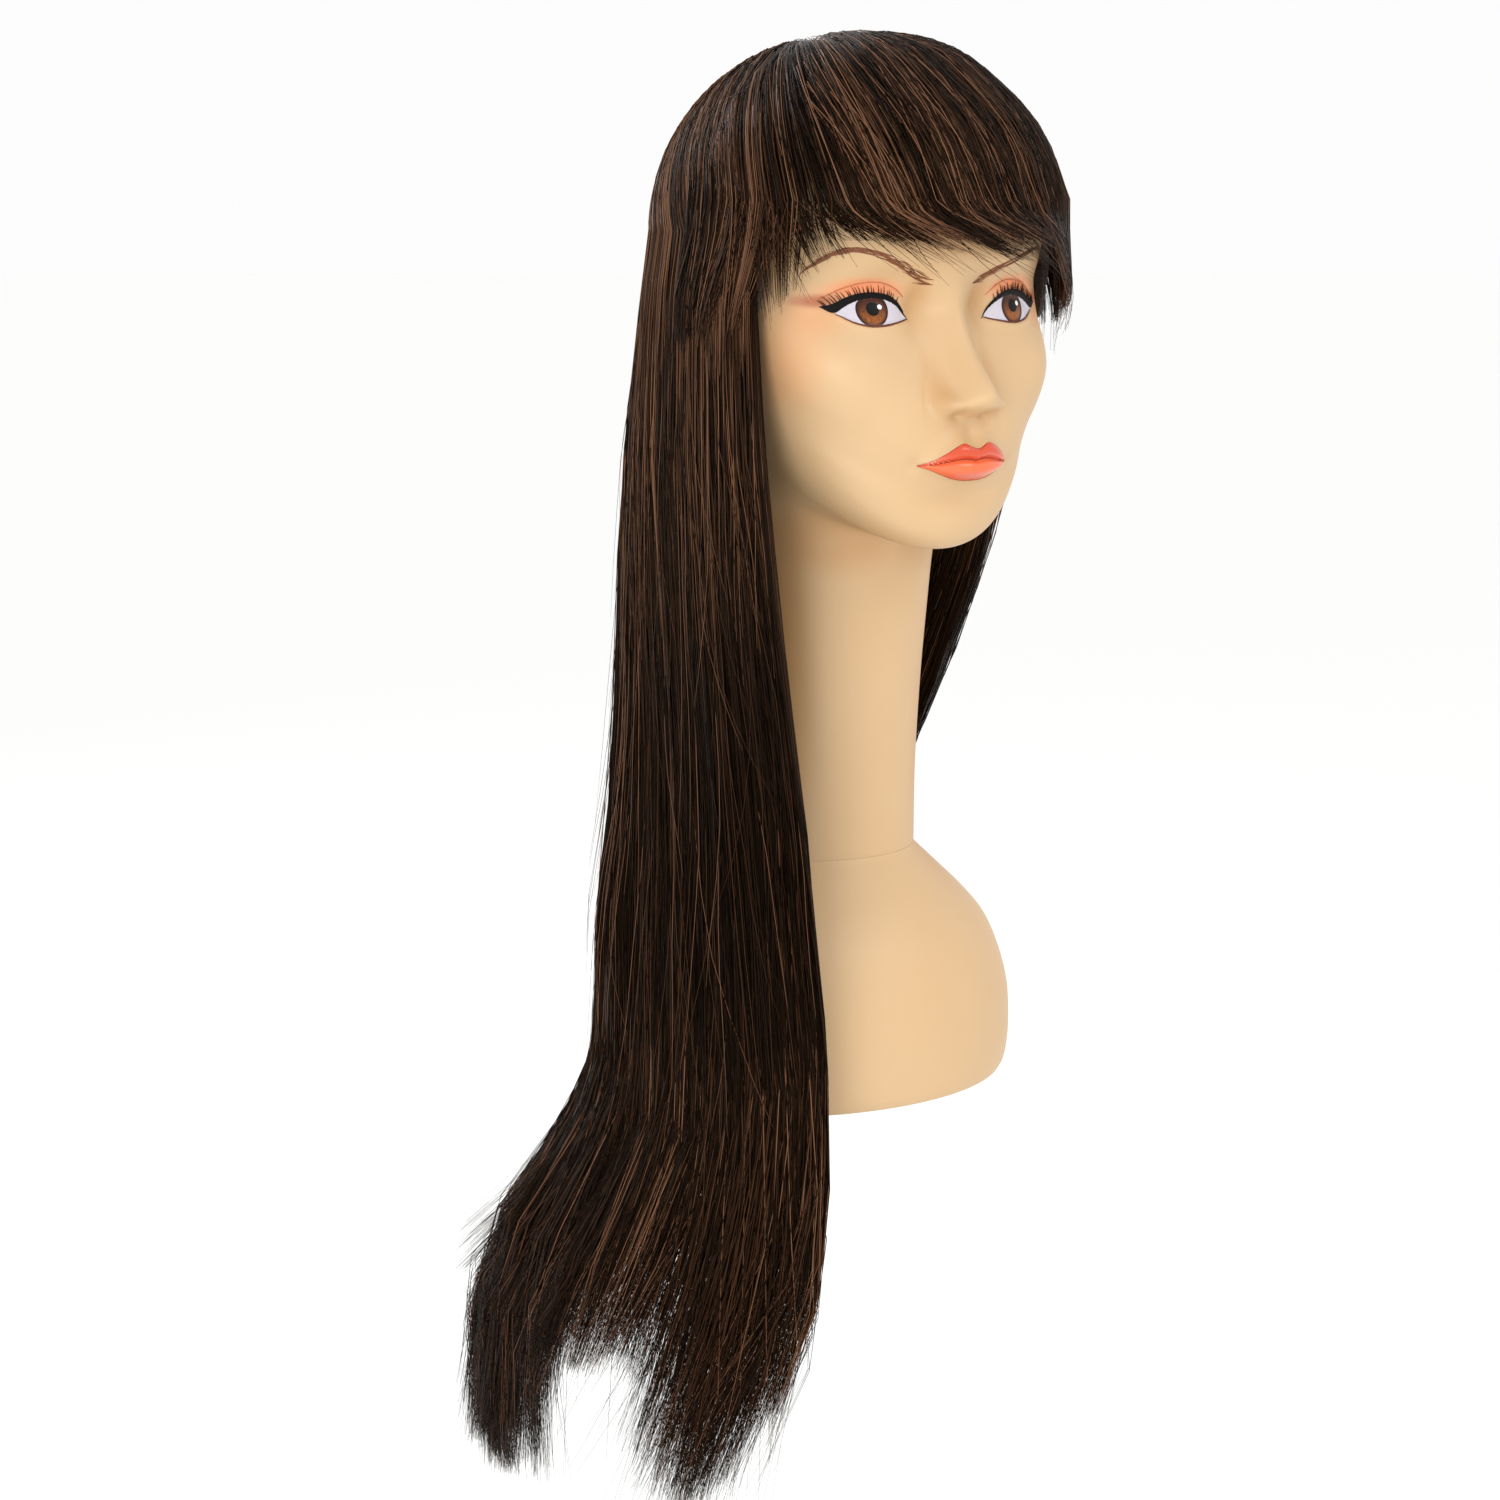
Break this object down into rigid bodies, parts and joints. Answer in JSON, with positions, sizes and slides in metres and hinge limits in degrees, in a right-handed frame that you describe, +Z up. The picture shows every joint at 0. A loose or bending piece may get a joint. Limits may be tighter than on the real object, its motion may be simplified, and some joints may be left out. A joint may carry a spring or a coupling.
{
  "type": "mannequin head with long wig",
  "caption": "Long-necked painted mannequin head on an oval bust with a pole socket, wearing a long straight wig with a fringe that lifts off.",
  "frame": {"origin": "middle of the pole socket's mouth, in the underside of the bust", "axes": "+Z up, -Y the way the face looks, +X the mannequin's left"},
  "size_m": [0.2462, 0.2547, 0.68],
  "materials": {
    "painted_skin": "matte painted glass-fibre",
    "glass_tape": "resin-soaked glass tape",
    "plywood": "sanded birch plywood",
    "felt": "black wool felt",
    "zinc_steel": "zinc-plated",
    "screw_steel": "zinc-plated",
    "cap_net": "black stretch net",
    "lace_band": "brown woven polyester",
    "elastic_band": "covered elastic",
    "stay_steel": "flat spring strip",
    "hook_plastic": "moulded",
    "weft_thread": "stitched thread",
    "hair_fibre": "dark brown synthetic fibre"
  },
  "bodies": {
    "bust": {"front_shell": "painted_skin", "rear_shell": "painted_skin", "seam_tape": "glass_tape", "base_plate": "plywood", "felt_pad": "felt", "pole_socket": "zinc_steel", "socket_screws": "screw_steel"},
    "wig": {"wig_cap": "cap_net", "hairline_band": "lace_band", "nape_band": "elastic_band", "crown_closure": "lace_band", "hook_loops": "elastic_band", "ear_tab_left": "lace_band", "ear_stay_left": "stay_steel", "ear_tab_right": "lace_band", "ear_stay_right": "stay_steel", "weft_track_1": "weft_thread", "weft_track_2": "weft_thread", "weft_track_3": "weft_thread", "weft_track_4": "weft_thread", "weft_track_5": "weft_thread", "weft_track_6": "weft_thread", "crown_hair": "hair_fibre", "fringe_hair": "hair_fibre", "left_side_hair": "hair_fibre", "left_back_hair": "hair_fibre", "back_hair": "hair_fibre", "right_back_hair": "hair_fibre", "right_side_hair": "hair_fibre", "right_front_hair": "hair_fibre"},
    "left_strap": {"strap_left": "elastic_band", "hook_left": "hook_plastic"},
    "right_strap": {"strap_right": "elastic_band", "hook_right": "hook_plastic"}
  },
  "joints": [
    {"name": "wig_lift", "type": "slide", "parent": "bust", "child": "wig", "axis": [0, 0, 1], "range_m": [0, 0.3]},
    {"name": "left_strap_slide", "type": "hinge", "parent": "wig", "child": "left_strap", "pos_m": [0, 0, 0.346], "axis": [0, 0, 1], "range_deg": [0, 8]},
    {"name": "right_strap_slide", "type": "hinge", "parent": "wig", "child": "right_strap", "pos_m": [0, 0, 0.346], "axis": [0, 0, -1], "range_deg": [0, 8]}
  ]
}
